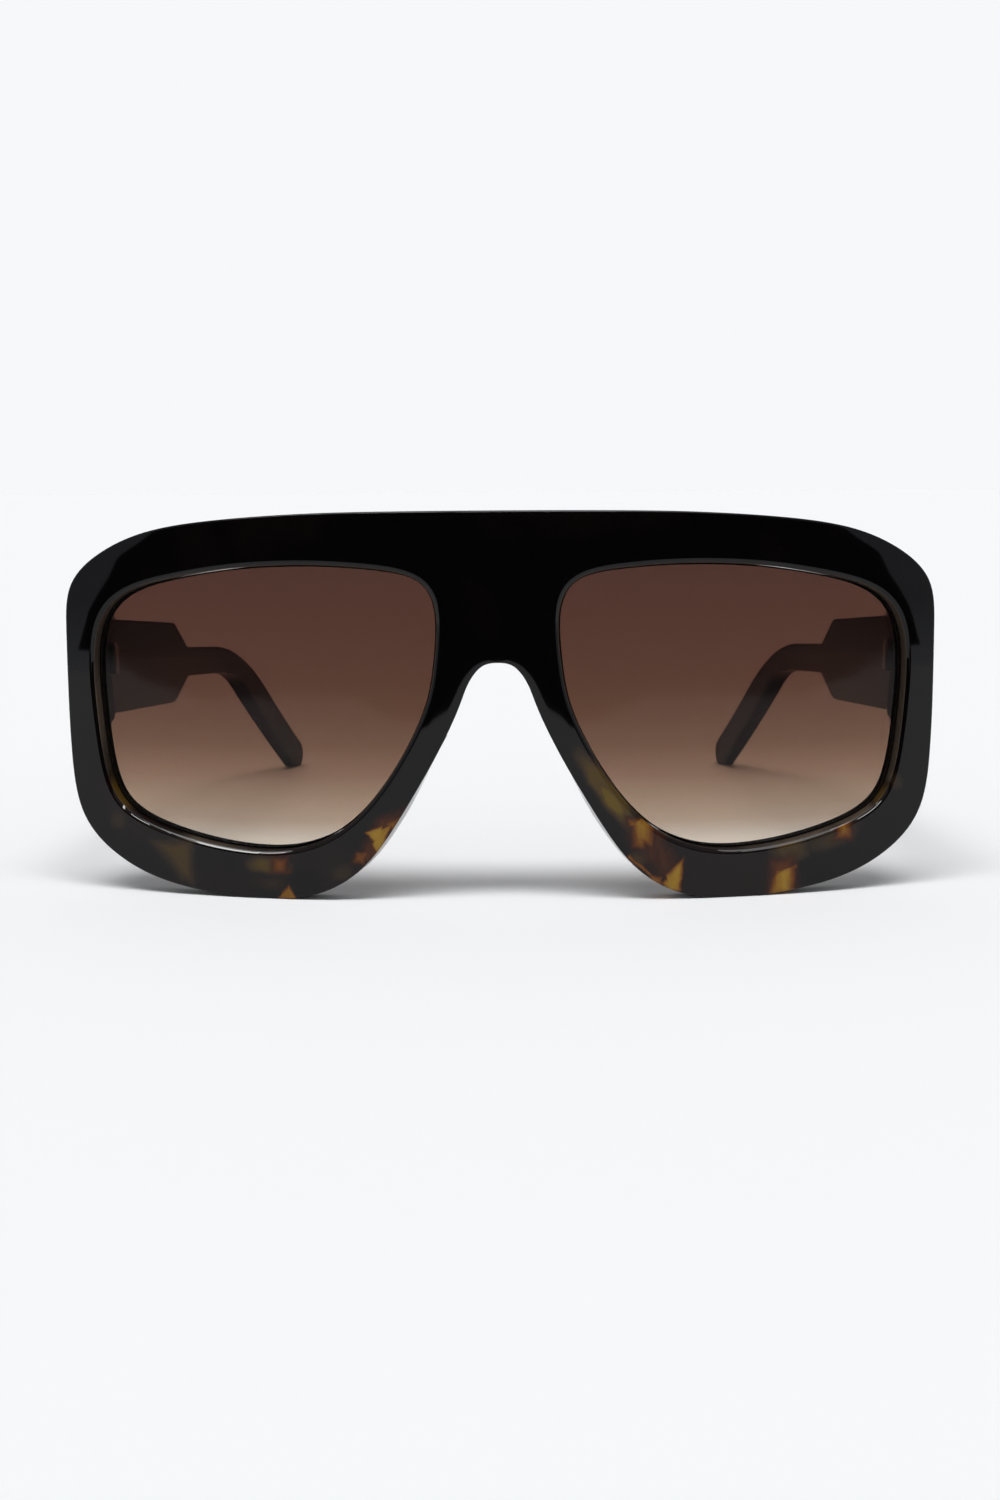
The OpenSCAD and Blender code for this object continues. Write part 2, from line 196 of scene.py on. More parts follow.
bpy.ops.mesh.primitive_plane_add(size=1)
curtain = bpy.context.object
curtain.name = "dark_curtain"
curtain_mesh = bmesh.new()
curtain_turns = [curtain_end * k / curtain_steps for k in range(-curtain_steps, curtain_steps + 1)]
edges = []
for turn in curtain_turns:
    x = curtain_away * sin(radians(turn + curtain_lean)) * mm
    y = front_y - curtain_away * cos(radians(turn + curtain_lean)) * mm
    low = level_at(curtain_foot, abs(turn)) * mm
    high = level_at(curtain_side, abs(turn)) * mm
    edges.append((curtain_mesh.verts.new((x, y, low)), curtain_mesh.verts.new((x, y, high))))
for (low, high), (next_low, next_high) in zip(edges, edges[1:]):
    curtain_mesh.faces.new((low, next_low, next_high, high))
curtain_mesh.to_mesh(curtain.data)
curtain_mesh.free()
curtain.data.materials.append(glow("curtain_cloth", (0.003, 0.003, 0.004, 1), 1))
only_in_polish(curtain)

# The grey wall is brightest at its foot and evenly dim above the first 25 mm
wall_away = 440 * mm
wall_high = 300 * mm
wall_foot = 25 * mm


def ranged(nodes, link, value, low, high, at_low=0, at_high=1, way="SMOOTHSTEP"):
    """A level that goes from at_low to at_high while the value goes from low to high."""
    level = new_node(nodes, "ShaderNodeMapRange", interpolation_type=way)
    link(value, level.inputs["Value"])
    level.inputs["From Min"].default_value = low
    level.inputs["From Max"].default_value = high
    level.inputs["To Min"].default_value = at_low
    level.inputs["To Max"].default_value = at_high
    return level.outputs["Result"]


bpy.ops.mesh.primitive_cylinder_add(
    vertices=96, radius=wall_away, depth=wall_high, end_fill_type="NOTHING",
    location=(0, front_y, wall_high / 2),
)
grey_wall = bpy.context.object
grey_wall.name = "grey_wall"
wall_glow = glow("wall_glow", (0.95, 0.98, 1.06, 1), 1)
nodes = wall_glow.node_tree.nodes
link = wall_glow.node_tree.links.new
wall_parts = new_node(nodes, "ShaderNodeSeparateXYZ")
link(new_node(nodes, "ShaderNodeTexCoord").outputs["Object"], wall_parts.inputs[0])
wall_level = ranged(
    nodes, link, wall_parts.outputs["Z"], -wall_high / 2, wall_foot - wall_high / 2, 0.82, 0.48,
    "LINEAR"
)
link(wall_level, nodes["Emission"].inputs["Strength"])
grey_wall.data.materials.append(wall_glow)
only_in_polish(grey_wall)

# Each soft box is a long strip: the ways from the front to its two ends, and where it is seen from
box_glow = glow("box_glow", (1, 0.99, 0.97, 1), 30)
box_w = 0.05
soft_boxes = [
    ((-0.07, -0.61, 0.79), (-0.22, -0.49, 0.84), (-56, 10)),
    ((-0.31, -0.41, 0.86), (-0.48, -0.31, 0.82), (-40, 8)),
    ((-0.15, -0.74, 0.65), (0.16, -0.53, 0.83), (57, 10)),
]
for i, (one_end, other_end, seen_from) in enumerate(soft_boxes):
    start = Vector((seen_from[0] * mm, front_y, seen_from[1] * mm))
    length = Vector(other_end) - Vector(one_end)
    way = (Vector(one_end) + Vector(other_end)) / 2
    along = (length - way * length.dot(way) / way.length_squared).normalized()
    box_turn = Matrix((along, way.cross(along).normalized(), way.normalized())).transposed()
    bpy.ops.mesh.primitive_plane_add(size=1)
    soft_box = bpy.context.object
    soft_box.name = "soft_box_%d" % (i + 1)
    soft_box.matrix_world = (
        Matrix.Translation(start + way) @ box_turn.to_4x4()
        @ Matrix.Diagonal((length.length, box_w, 1, 1))
    )
    soft_box.data.materials.append(box_glow)
    only_in_polish(soft_box)


# The acetate: sheets of dark tortoiseshell, made by pressing coloured chips into a block and
# slicing it. They are nearly black with a mist of brown, and towards the bottom of the front olive
# clouds and amber flakes show through the polish.
def noise(nodes, link, place, scale, detail):
    made = new_node(nodes, "ShaderNodeTexNoise")
    made.inputs["Scale"].default_value = scale
    made.inputs["Detail"].default_value = detail
    link(place, made.inputs["Vector"])
    return made


def shifted(nodes, link, place, texture, reach):
    """The place moved by a texture's colour, up to half the reach each way."""
    centred = new_node(nodes, "ShaderNodeVectorMath", operation="SUBTRACT")
    link(texture.outputs["Color"], centred.inputs[0])
    centred.inputs[1].default_value = (0.5, 0.5, 0.5)
    small = new_node(nodes, "ShaderNodeVectorMath", operation="SCALE")
    link(centred.outputs[0], small.inputs[0])
    small.inputs["Scale"].default_value = reach
    moved = new_node(nodes, "ShaderNodeVectorMath", operation="ADD")
    link(place, moved.inputs[0])
    link(small.outputs[0], moved.inputs[1])
    return moved.outputs[0]


def patches(nodes, link, place, spots):
    """How deep a place lies in the spots: 0 outside them and up to each one's clearness."""
    depth = None
    for x, z, half_w, half_h, turn, clearness, fades_from in spots:
        spot = new_node(nodes, "ShaderNodeMapping", vector_type="TEXTURE")
        link(place, spot.inputs["Vector"])
        spot.inputs["Location"].default_value = (x * mm, 0, z * mm)
        spot.inputs["Rotation"].default_value = (0, radians(turn), 0)
        spot.inputs["Scale"].default_value = (half_w * mm, 1, half_h * mm)
        away = new_node(nodes, "ShaderNodeVectorMath", operation="LENGTH")
        link(spot.outputs[0], away.inputs[0])
        fade = ranged(
            nodes, link, away.outputs["Value"], fades_from, 1.4 - 0.3 * fades_from, clearness, 0
        )
        depth = larger(nodes, link, depth, fade)
    return depth


def chips(nodes, link, place, flakes):
    """How deep a place lies in the flakes: 0 outside them and up to each one's clearness."""
    depth = None
    for corners, clearness, bleed in flakes:
        outside = None
        for i, (x, z) in enumerate(corners):
            next_x, next_z = corners[(i + 1) % len(corners)]
            side = Vector((z - next_z, 0, next_x - x)).normalized()
            along = new_node(nodes, "ShaderNodeVectorMath", operation="DOT_PRODUCT")
            link(place, along.inputs[0])
            along.inputs[1].default_value = side
            over = new_node(nodes, "ShaderNodeMath", operation="SUBTRACT")
            link(along.outputs["Value"], over.inputs[0])
            over.inputs[1].default_value = side.dot(Vector((x, 0, z))) * mm
            outside = larger(nodes, link, outside, over.outputs[0])
        fade = ranged(nodes, link, outside, -1.5 * bleed * mm, 0.7 * bleed * mm, clearness, 0)
        depth = larger(nodes, link, depth, fade)
    return depth


def laid_over(nodes, link, under, over, share):
    """One colour over another, by a share that is 0 where only the lower one shows."""
    mixed = new_node(nodes, "ShaderNodeMix", data_type="RGBA")
    link(share, mixed.inputs["Factor"])
    link(under, mixed.inputs["A"])
    if isinstance(over, tuple):
        mixed.inputs["B"].default_value = over
    else:
        link(over, mixed.inputs["B"])
    return mixed.outputs["Result"]


def acetate(name, black, brown, clouds, flakes, roughness, wedges=()):
    material = bpy.data.materials.new(name)
    material.use_nodes = True
    nodes = material.node_tree.nodes
    link = material.node_tree.links.new
    place = new_node(nodes, "ShaderNodeTexCoord").outputs["Object"]

    # A soft brown mist in the black
    mist = noise(nodes, link, place, 48, 3)
    ground = new_node(nodes, "ShaderNodeRGB")
    ground.outputs[0].default_value = black
    mist_share = ranged(nodes, link, mist.outputs["Fac"], 0.48, 0.68)
    body = laid_over(nodes, link, ground.outputs[0], brown, mist_share)

    # Low down the sheet is warmer, in blots as long as a finger is wide
    blots = noise(nodes, link, place, 85, 3)
    heights = new_node(nodes, "ShaderNodeSeparateXYZ")
    link(place, heights.inputs[0])
    blot_share = new_node(nodes, "ShaderNodeMath", operation="MULTIPLY")
    link(ranged(nodes, link, blots.outputs["Fac"], 0.42, 0.66), blot_share.inputs[0])
    low_down = ranged(nodes, link, heights.outputs["Z"], 12 * mm, 28 * mm, 1, 0)
    link(low_down, blot_share.inputs[1])
    body = laid_over(nodes, link, body, (0.0055, 0.0024, 0.0024, 1), blot_share.outputs[0])

    # The clouds feather out, and the wedges among them keep straight sides
    stir = noise(nodes, link, place, 150, 4)
    stir.inputs["Roughness"].default_value = 0.55
    stirred = shifted(nodes, link, place, stir, 2.6 * mm)
    ragged = shifted(nodes, link, place, stir, 1.8 * mm)
    cloud_depth = patches(nodes, link, stirred, clouds)
    if wedges:
        cloud_depth = larger(nodes, link, cloud_depth, chips(nodes, link, ragged, wedges))
    cloud_ramp = new_node(nodes, "ShaderNodeValToRGB")
    link(cloud_depth, cloud_ramp.inputs["Fac"])
    cloud_ramp.color_ramp.elements[0].color = (0.006, 0.004, 0.003, 1)
    cloud_ramp.color_ramp.elements[1].color = (0.11, 0.069, 0.005, 1)
    cloud_ramp.color_ramp.elements.new(0.4).color = (0.025, 0.0145, 0.0065, 1)
    cloud_ramp.color_ramp.elements.new(0.7).color = (0.056, 0.032, 0.006, 1)
    cloud_share = ranged(nodes, link, cloud_depth, 0, 0.25, way="LINEAR")
    body = laid_over(nodes, link, body, cloud_ramp.outputs["Color"], cloud_share)

    # The flakes are broken along straight cracks and bleed at the edge, and fine streaks run down
    # through them
    if flakes:
        cracks = new_node(nodes, "ShaderNodeTexVoronoi")
        cracks.inputs["Scale"].default_value = 190
        link(ragged, cracks.inputs["Vector"])
        broken = shifted(nodes, link, ragged, cracks, 0.7 * mm)
        streak_place = new_node(nodes, "ShaderNodeMapping")
        link(place, streak_place.inputs["Vector"])
        streak_place.inputs["Rotation"].default_value = (0, radians(35), 0)
        streak_place.inputs["Scale"].default_value = (900, 300, 170)
        streaks = noise(nodes, link, streak_place.outputs[0], 1, 3)
        streak_level = ranged(
            nodes, link, streaks.outputs["Fac"], 0.3, 0.7, 0.8, 1.12, "LINEAR"
        )
        depth = chips(nodes, link, broken, flakes)
        streaked = new_node(nodes, "ShaderNodeMath", operation="MULTIPLY")
        link(depth, streaked.inputs[0])
        link(streak_level, streaked.inputs[1])
        ramp = new_node(nodes, "ShaderNodeValToRGB")
        link(streaked.outputs[0], ramp.inputs["Fac"])
        ramp.color_ramp.elements[0].color = (0.012, 0.003, 0.001, 1)
        ramp.color_ramp.elements[1].color = (0.27, 0.155, 0.014, 1)
        ramp.color_ramp.elements.new(0.22).color = (0.035, 0.007, 0.001, 1)
        ramp.color_ramp.elements.new(0.45).color = (0.12, 0.035, 0.002, 1)
        ramp.color_ramp.elements.new(0.7).color = (0.2, 0.092, 0.007, 1)
        flake_share = ranged(nodes, link, depth, 0, 0.3)
        body = laid_over(nodes, link, body, ramp.outputs["Color"], flake_share)

    shader = nodes["Principled BSDF"]
    link(body, shader.inputs["Base Color"])
    shader.inputs["Roughness"].default_value = roughness
    shader.inputs["IOR"].default_value = 1.48
    shader.inputs["Specular IOR Level"].default_value = 0.27
    return material


# A cloud is a place, half its width and height, a turn, how clear it is and at what share of its
# size it begins to fade. A flake is its corners, clockwise, how clear it is and how far its edge
# bleeds, and a wedge is a flake in the colours of a cloud. Lengths are in mm, turns in degrees.
front_clouds = [
    (-38.0, 5.4, 4.0, 1.7, 0, 0.74, 0.35),
    (-37.6, 2.4, 3.2, 1.4, 0, 0.22, 0.1),
    (-25.6, 4.7, 2.4, 1.7, 0, 0.32, 0.1),
    (-63.8, 11.8, 1.8, 2.2, 0, 0.3, 0.1),
    (17.6, 18.0, 2.1, 8.6, -37, 0.74, 0.55),
    (18.4, 16.6, 1.5, 4.8, -37, 0.96, 0.35),
    (22.6, 7.0, 2.2, 1.6, -37, 0.5, 0.2),
    (47.8, 7.2, 3.6, 2.2, 4, 0.6, 0.35),
    (55.0, 9.0, 5.4, 2.0, -16, 0.46, 0.2),
    (66.1, 17.9, 1.6, 1.8, 0, 0.3, 0.1),
]
front_wedges = [
    (((-50.3, 9.4), (-50.8, 1.4), (-53.4, 2.2), (-58.4, 9.2)), 0.62, 1.3),
]
front_flakes = [
    (((-21.9, 11.2), (-17.0, 13.4), (-20.2, 9.4)), 1.0, 0.4),
    (((-17.2, 13.4), (-19.7, 6.6), (-20.6, 10.8)), 1.0, 0.4),
    (((-15.0, 15.2), (-16.8, 11.6), (-19.0, 13.2)), 0.56, 0.7),
    (((-14.0, 17.0), (-19.4, 4.6), (-24.2, 5.4), (-20.4, 14.2)), 0.28, 1.3),
    (((-20.8, 8.4), (-21.6, 5.2), (-24.0, 5.8), (-23.4, 7.8)), 0.5, 0.8),
    (((-16.4, 10.8), (-19.3, 7.1), (-19.8, 7.4), (-16.9, 11.2)), 0.6, 0.3),
    (((-34.0, 7.4), (-34.3, 3.6), (-37.8, 3.8), (-37.4, 7.2)), 0.48, 1.4),
    (((-34.2, 4.4), (-34.6, 1.2), (-41.2, 1.4), (-40.6, 4.2)), 0.1, 1.6),
    (((-32.6, -0.3), (-37.6, -0.3), (-34.4, 2.3)), 0.66, 0.45),
    (((20.0, 14.6), (26.8, 12.6), (30.4, 4.8), (28.2, 0.8), (24.6, 3.6), (19.8, 11.0)), 0.24, 1.8),
    (((25.6, 13.2), (24.8, 8.4), (21.7, 9.2), (20.9, 14.2)), 0.95, 1.6),
    (((29.9, 6.6), (29.9, 1.2), (27.4, 0.8), (26.0, 3.2)), 1.0, 0.7),
    (((26.2, 4.4), (26.8, 0.8), (24.4, 2.0), (23.6, 4.6)), 0.6, 0.6),
    (((24.4, 4.6), (24.0, 4.1), (20.6, 7.6), (21.2, 8.2)), 0.62, 0.3),
    (((49.6, 7.4), (49.8, -0.4), (43.4, -0.4), (43.8, 7.0)), 0.3, 1.5),
    (((49.2, 5.1), (49.0, -0.8), (44.2, -0.8), (45.4, 4.7)), 0.95, 1.3),
    (((58.8, 12.6), (58.0, 8.0), (54.6, 8.2), (55.2, 12.8)), 0.68, 1.5),
]
front_black = (0.0016, 0.0013, 0.0016, 1)
front_acetate = acetate(
    "front_acetate", front_black, (0.0032, 0.0022, 0.002, 1), front_clouds, front_flakes, 0.035,
    front_wedges
)
# Inside the openings the sheet is sawn and only roughly polished, so it looks paler
opening_clouds = [
    (-63.5, 16.0, 3.0, 4.0, 0, 0.72, 0.4),
    (64.0, 15.0, 2.6, 3.0, 0, 0.62, 0.4),
    (19.0, 16.0, 3.0, 9.0, -35, 0.66, 0.4),
    (57.0, 9.0, 4.0, 2.0, 0, 0.6, 0.4),
]
sawn_acetate = acetate(
    "sawn_acetate", (0.042, 0.031, 0.023, 1), (0.075, 0.057, 0.042, 1), opening_clouds, [], 0.4
)
sawn_acetate.node_tree.nodes["Principled BSDF"].inputs["Specular IOR Level"].default_value = 0.1


# The front: one sheet of acetate, cut to shape, polished and bent round the face. The sheet is
# drawn flat here, as a ring of stations round each lens opening that widens in steps from the
# opening to the outline, then thickened, rounded along its edges and bent.
lens_w = 57.5
lens_h = 46.6
bridge_w = 19.4
brow_h = 8.5
lower_rim_h = 7.9
side_rim_w = 5
arch_h = 38.9
front_t = 5
wrap_r = 200
rest_flat = 0.2
nose_x = bridge_w / 2
mid_x = nose_x + lens_w / 2
side_x = nose_x + lens_w
outer_x = side_x + side_rim_w
low_z = lower_rim_h
mid_z = low_z + lens_h / 2
top_z = low_z + lens_h + brow_h
lens_turn = asin(mid_x / wrap_r)

lens_shape = [
    (-0.93, 0.02), (-0.985, 0.34), (-0.995, 0.66), (-0.89, 0.895), (-0.6, 0.978), (-0.24, 1),
    (0.14, 0.978), (0.48, 0.915), (0.77, 0.815), (0.945, 0.62), (1, 0.3), (0.985, -0.1),
    (0.945, -0.46), (0.83, -0.73), (0.56, -0.89), (0.23, -0.98), (-0.1, -0.995), (-0.38, -0.89),
    (-0.6, -0.665), (-0.78, -0.35),
]
lens_knots = [(mid_x + x * lens_w / 2, mid_z + z * lens_h / 2) for x, z in lens_shape]
rim_shape = [
    (-0.665, 0.998), (-0.222, 0.989), (0.195, 0.96), (0.535, 0.906), (0.789, 0.799),
    (0.962, 0.628), (0.997, 0.376), (0.998, 0.056), (0.991, -0.262), (0.946, -0.567),
    (0.791, -0.778), (0.551, -0.912), (0.259, -0.979), (-0.028, -1), (-0.289, -0.952),
    (-0.506, -0.793),
]
half_outline = [
    (mid_x + x * (outer_x - mid_x), mid_z + z * (top_z - mid_z if z > 0 else mid_z + rest_flat))
    for x, z in rim_shape
]
half_outline += [
    (nose_x + 0.101 * lens_w, low_z + 0.142 * lens_h),
    (nose_x + 0.012 * lens_w, low_z + 0.328 * lens_h),
    (0.68 * nose_x, 0.794 * arch_h), (0.505 * nose_x, 0.905 * arch_h),
    (0.278 * nose_x, 0.982 * arch_h),
]
front_knots = [(0, top_z)] + half_outline + [(0, arch_h)]
front_knots += [(-x, z) for x, z in reversed(half_outline)]


def closed_curve(knots, steps):
    """Points of the smooth closed curve through the knots, with so many steps between two."""
    pole = sqrt(3) - 2
    n = len(knots)
    control = []
    for i in range(n):
        pull = Vector((0, 0))
        for j in range(-10, 11):
            pull += Vector(knots[(i + j) % n]) * pole ** abs(j)
        control.append(pull * sqrt(3))
    points = []
    for i in range(n):
        a, b, c, d = (control[(i + k) % n] for k in (-1, 0, 1, 2))
        for k in range(steps):
            t = k / steps
            points.append((
                (1 - t) ** 3 * a + (3 * t ** 3 - 6 * t * t + 4) * b
                + (3 * t + 3 * t * t - 3 * t ** 3 + 1) * c + t ** 3 * d
            ) / 6)
    return points


def grown(ring, by):
    """A clockwise ring of points, moved outwards."""
    moved = []
    for i, point in enumerate(ring):
        along = (ring[(i + 1) % len(ring)] - ring[i - 1]).normalized()
        moved.append(point + by * Vector((-along.y, along.x)))
    return moved


# Half of the outline, closed up the middle of the bridge, and the place on the edge of the lens
# opening that lies nearest to each of its stations, evened out between its neighbours
outline_steps = 8
outline = closed_curve(front_knots, outline_steps)
half_count = (len(half_outline) + 1) * outline_steps
seam_steps = 10
cell = outline[:half_count + 1]
cell += [Vector((0, arch_h + (top_z - arch_h) * k / seam_steps)) for k in range(1, seam_steps)]
fine_steps = 48
fine_ring = closed_curve(lens_knots, fine_steps)
fine_count = len(fine_ring)
nearest = [min(range(fine_count), key=lambda i: (fine_ring[i] - p).length) for p in cell]
for i in range(1, len(nearest)):
    while nearest[i] < nearest[i - 1] - fine_count / 2:
        nearest[i] += fine_count
    while nearest[i] > nearest[i - 1] + fine_count / 2:
        nearest[i] -= fine_count
evening = 9
stations = len(cell)


def unrolled(i):
    return nearest[i % stations] + fine_count * (i // stations)


evened = [
    sum(unrolled(i + k) for k in range(-evening, evening + 1)) / (2 * evening + 1)
    for i in range(stations)
]


def on_opening(place, ring):
    """A point on a ring of fine steps, at a place between two of them."""
    whole = int(place // 1)
    part = place - whole
    return ring[whole % fine_count] * (1 - part) + ring[(whole + 1) % fine_count] * part


def wrap_y(x, r=wrap_r):
    return wrap_r - sqrt(r * r - x * x)


def smooth_step(low, high, value):
    t = min(1, max(0, (value - low) / (high - low)))
    return t * t * (3 - 2 * t)


# The walls of the sheet lean from straight back at the bridge to the way the lens faces, between
# these distances before and past the nose side of the opening
lean_before = 1.5
lean_past = 7


def bent(x, back, z):
    """Where a point of the flat sheet goes, so far behind its face, once the sheet is bent."""
    across = abs(x)
    lean = lens_turn * smooth_step(nose_x - lean_before, nose_x + lean_past, across)
    step = back / cos(asin(across / wrap_r) - lean)
    bent_x = copysign(across - step * sin(lean), x)
    return Vector((bent_x * mm, front_y + (wrap_y(across) + step * cos(lean)) * mm, z * mm))


def named(name):
    """Gives the active object and its mesh a name."""
    piece = bpy.context.object
    piece.name = name
    piece.data.name = name
    return piece


chamfer_w = 0.62
chamfer_back = 0.48
# Two depths that differ by less than this are the same
hair = 0.01
opening_ring = [on_opening(place, fine_ring) for place in evened]
chamfer_ring = [on_opening(place, grown(fine_ring, chamfer_w)) for place in evened]
sheet_rings = [0, 0.3, 0.65, 1]
rings = [(opening_ring, chamfer_back)]
for share in sheet_rings:
    rings.append(([a.lerp(b, share) for a, b in zip(chamfer_ring, cell)], 0))

bpy.ops.mesh.primitive_circle_add(vertices=stations, radius=1, fill_type="NOTHING")
front = named("front")
bpy.ops.object.mode_set(mode="EDIT")
sheet = bmesh.from_edit_mesh(front.data)
station_of = sheet.verts.layers.int.new("station")
sheet.verts.ensure_lookup_table()
for i, vert in enumerate(sheet.verts):
    vert[station_of] = i
    vert.co = (rings[0][0][i].x, rings[0][1], rings[0][0][i].y)
bmesh.update_edit_mesh(front.data)
for ring, back in rings[1:]:
    bpy.ops.mesh.extrude_edges_move()
    sheet = bmesh.from_edit_mesh(front.data)
    station_of = sheet.verts.layers.int["station"]
    for vert in sheet.verts:
        if vert.select:
            place = ring[vert[station_of]]
            vert.co = (place.x, back, place.y)
    bmesh.update_edit_mesh(front.data)
bpy.ops.object.mode_set(mode="OBJECT")
mirror = front.modifiers.new("other_half", "MIRROR")
mirror.merge_threshold = 0.001
mirror.use_clip = True
bpy.ops.object.modifier_apply(modifier=mirror.name)

# The sheet gets its thickness, with a flat back
bpy.ops.object.mode_set(mode="EDIT")
bpy.ops.mesh.select_all(action="SELECT")
bpy.ops.mesh.remove_doubles(threshold=0.001)
bpy.ops.mesh.extrude_region_move(TRANSFORM_OT_translate={"value": (0, front_t, 0)})
sheet = bmesh.from_edit_mesh(front.data)
for vert in sheet.verts:
    if vert.select:
        vert.co.y = front_t
    vert.co.z = max(vert.co.z, 0)
bmesh.update_edit_mesh(front.data)
bpy.ops.mesh.select_all(action="SELECT")
bpy.ops.mesh.normals_make_consistent(inside=False)
bpy.ops.object.mode_set(mode="OBJECT")

# Its edges are rounded in the polishing barrel: least along the chamfers, most at the back
face_round = 0.35
chamfer_round = 0.21
back_round = 0.7
sheet = bmesh.new()
sheet.from_mesh(front.data)
rounding = sheet.edges.layers.float.new("bevel_weight_edge")
for face in sheet.faces:
    backs = [vert.co.y for vert in face.verts]
    if min(backs) > chamfer_back - hair and min(backs) < front_t - hair < max(backs):
        face.material_index = 1
for edge in sheet.edges:
    if edge.calc_face_angle(0) < radians(25):
        continue
    backs = [vert.co.y for vert in edge.verts]
    if min(backs) > front_t - hair:
        edge[rounding] = 1
    elif max(backs) < hair and edge.calc_face_angle(0) > radians(70):
        edge[rounding] = face_round / back_round
    else:
        edge[rounding] = chamfer_round / back_round
sheet.to_mesh(front.data)
sheet.free()
polish = front.modifiers.new("polish", "BEVEL")
polish.limit_method = "WEIGHT"
polish.width = back_round
polish.segments = 4
bpy.ops.object.modifier_apply(modifier=polish.name)
# The round between a chamfer and the sawn wall behind it is only roughly polished too
for face in front.data.polygons:
    backs = [front.data.vertices[i].co.y for i in face.vertices]
    if min(backs) > face_round - hair and max(backs) < chamfer_back + chamfer_round + 0.05:
        face.material_index = 1

# The sheet is bent. Behind each end of it the acetate is built up to a flat face for the temple.
end_stands_out = 0.3
hinge_back = wrap_y(outer_x, wrap_r - front_t) + end_stands_out
end_from = side_x - 1
end_low = 28.45
end_high = 45.15
end_blend = 0.4
for vert in front.data.vertices:
    x, back, z = vert.co
    vert.co = bent(x, back, z)
    if back > front_t - back_round - hair and abs(x) > end_from:
        level = smooth_step(end_low - end_blend, end_low, z)
        level *= 1 - smooth_step(end_high, end_high + end_blend, z)
        rise = (front_y + hinge_back * mm - bent(x, front_t, z).y) * level
        vert.co.y += rise
        vert.co.x -= copysign(rise * tan(lens_turn), x)
front.data.materials.append(front_acetate)
front.data.materials.append(sawn_acetate)

# The hinge's axis stands in from the lens opening's side, in the middle of the gap between the end
# of the front and the temple, with a round notch about its knuckles
butt_gap = 0.2
axis_inset = 1.2
axis_x = side_x - axis_inset
axis_y = hinge_back + butt_gap / 2
notch_r = 1.6
notch_low = 35.34
notch_high = 41.26


def notched(piece, sides):
    """Cuts the round notch for the hinge's knuckles out of a piece."""
    for way in sides:
        bpy.ops.object.select_all(action="DESELECT")
        bpy.ops.mesh.primitive_cylinder_add(
            vertices=48, radius=notch_r * mm, depth=(notch_high - notch_low) * mm,
            location=(
                way * axis_x * mm, front_y + axis_y * mm, (notch_low + notch_high) / 2 * mm
            ),
        )
        cutter = bpy.context.object
        bpy.ops.object.select_all(action="DESELECT")
        piece.select_set(True)
        bpy.context.view_layer.objects.active = piece
        notch = piece.modifiers.new("notch", "BOOLEAN")
        notch.operation = "DIFFERENCE"
        notch.solver = "EXACT"
        notch.object = cutter
        bpy.ops.object.modifier_apply(modifier=notch.name)
        bpy.data.objects.remove(cutter)


def polished(piece):
    """Smooth faces between crisp edges, with the flat faces kept truly flat."""
    bpy.ops.object.shade_smooth_by_angle(angle=radians(35))
    flatten = piece.modifiers.new("flatten", "WEIGHTED_NORMAL")
    flatten.keep_sharp = True
    flatten.weight = 80
    bpy.ops.object.modifier_apply(modifier=flatten.name)


notched(front, (1, -1))
polished(front)
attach(front, "front")
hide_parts("front_frame")
bpy.ops.object.select_all(action="DESELECT")


# The lenses: moulded and tinted brown, dark at the brow and clearing towards the cheek. Each is
# a curved disc that snaps into the groove of its rim.
lens_t = 2
lens_inset = 2.2
lens_gap = 0.05
lens_round = 0.25
# The width of the band round the lens's edge that carries the painted shade of the groove
painted_shade_w = 0.25
tint_stops = [
    (9.0, (0.66, 0.57, 0.47, 1)),
    (10.4, (0.55, 0.457, 0.370, 1)),
    (12.4, (0.430, 0.320, 0.238, 1)),
    (15.0, (0.362, 0.252, 0.176, 1)),
    (17.5, (0.301, 0.198, 0.135, 1)),
    (20.0, (0.243, 0.143, 0.096, 1)),
    (25.0, (0.160, 0.084, 0.052, 1)),
    (30.0, (0.126, 0.061, 0.038, 1)),
    (36.0, (0.108, 0.0495, 0.0335, 1)),
    (46.0, (0.093, 0.0410, 0.0290, 1)),
    (55.0, (0.080, 0.037, 0.027, 1)),
]
gradient_tint = bpy.data.materials.new("gradient_tint")
gradient_tint.use_nodes = True
nodes = gradient_tint.node_tree.nodes
link = gradient_tint.node_tree.links.new
nodes.clear()
place = new_node(nodes, "ShaderNodeTexCoord")
parts = new_node(nodes, "ShaderNodeSeparateXYZ")
link(place.outputs["Object"], parts.inputs[0])
height = ranged(
    nodes, link, parts.outputs["Z"], tint_stops[0][0] * mm, tint_stops[-1][0] * mm, way="LINEAR"
)
tint = new_node(nodes, "ShaderNodeValToRGB")
link(height, tint.inputs["Fac"])
tint_span = tint_stops[-1][0] - tint_stops[0][0]
tint.color_ramp.elements[0].color = tint_stops[0][1]
tint.color_ramp.elements[1].color = tint_stops[-1][1]
for level, colour in tint_stops[1:-1]:
    stop = tint.color_ramp.elements.new((level - tint_stops[0][0]) / tint_span)
    stop.color = colour
# Light crosses two faces, so each takes the square root of the tint
one_face = new_node(nodes, "ShaderNodeGamma")
link(tint.outputs["Color"], one_face.inputs["Color"])
one_face.inputs["Gamma"].default_value = 0.5
through = new_node(nodes, "ShaderNodeBsdfTransparent")
link(one_face.outputs["Color"], through.inputs["Color"])
shine = new_node(nodes, "ShaderNodeBsdfGlossy")
shine.inputs["Roughness"].default_value = 0.07
coated = new_node(nodes, "ShaderNodeFresnel")
coated.inputs["IOR"].default_value = 1.27
